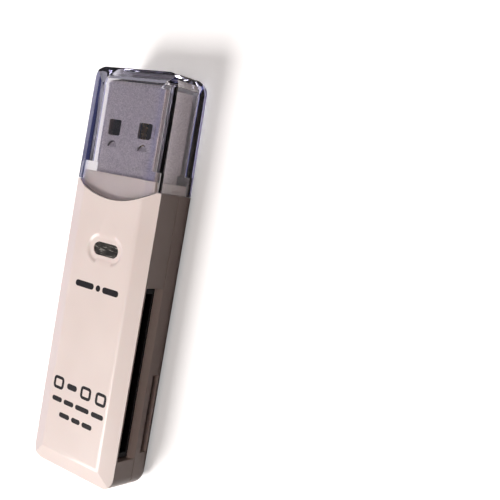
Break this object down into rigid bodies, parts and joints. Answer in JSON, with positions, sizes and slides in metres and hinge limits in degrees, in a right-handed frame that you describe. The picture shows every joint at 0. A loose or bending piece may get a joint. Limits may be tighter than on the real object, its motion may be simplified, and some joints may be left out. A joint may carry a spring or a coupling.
{
  "type": "usb memory card reader",
  "caption": "Slim stick card reader with a plug under a clear pull-off cap and a large and a small card slot in one side.",
  "frame": {"origin": "bottom centre of the whole reader with its cap on, in the plane of its flat back face", "axes": "+Y along the length towards the plug, +X across the width towards the card slots, +Z out of the front face with the indicator"},
  "size_m": [0.0178, 0.062, 0.0088],
  "materials": {
    "shell": "glossy white moulded plastic, slightly warm",
    "cap_clear": "clear moulded plastic with a faint blue tint",
    "window_clear": "clear plastic lens, slightly smoky",
    "plug_metal": "nickel plated steel sheet with a fine grain",
    "shield_metal": "bright steel sheet",
    "black_plastic": "black moulded plastic",
    "board": "green solder mask",
    "contact_gold": "gold plated spring contacts",
    "solder_tin": "tinned legs",
    "ceramic_tan": "ceramic with plain ends",
    "resistor_black": "dark ceramic",
    "can_metal": "metal can",
    "lamp_lens": "pale lamp body"
  },
  "bodies": {
    "reader": {"back_shell": "shell", "capacitor_1": "ceramic_tan", "capacitor_2": "ceramic_tan", "capacitor_3": "ceramic_tan", "capacitor_4": "ceramic_tan", "circuit_board": "board", "controller_chip": "black_plastic", "controller_legs": "solder_tin", "crystal": "can_metal", "front_shell": "shell", "indicator_lamp": "lamp_lens", "indicator_window": "window_clear", "large_card_base": "black_plastic", "large_card_contact_1": "contact_gold", "large_card_contact_2": "contact_gold", "large_card_contact_3": "contact_gold", "large_card_contact_4": "contact_gold", "large_card_contact_5": "contact_gold", "large_card_contact_6": "contact_gold", "large_card_contact_7": "contact_gold", "large_card_contact_8": "contact_gold", "large_card_contact_9": "contact_gold", "plug_contact_1": "contact_gold", "plug_contact_2": "contact_gold", "plug_contact_3": "contact_gold", "plug_contact_4": "contact_gold", "plug_insulator": "black_plastic", "plug_shell": "plug_metal", "resistor_1": "resistor_black", "resistor_2": "resistor_black", "resistor_3": "resistor_black", "resistor_4": "resistor_black", "small_card_base": "black_plastic", "small_card_contact_1": "contact_gold", "small_card_contact_2": "contact_gold", "small_card_contact_3": "contact_gold", "small_card_contact_4": "contact_gold", "small_card_contact_5": "contact_gold", "small_card_contact_6": "contact_gold", "small_card_contact_7": "contact_gold", "small_card_contact_8": "contact_gold", "small_card_shield": "shield_metal"},
    "cap": {"cap": "cap_clear"}
  },
  "joints": [
    {"name": "cap_slide", "type": "slide", "parent": "reader", "child": "cap", "axis": [0, 1, 0], "range_m": [0, 0.024]}
  ]
}
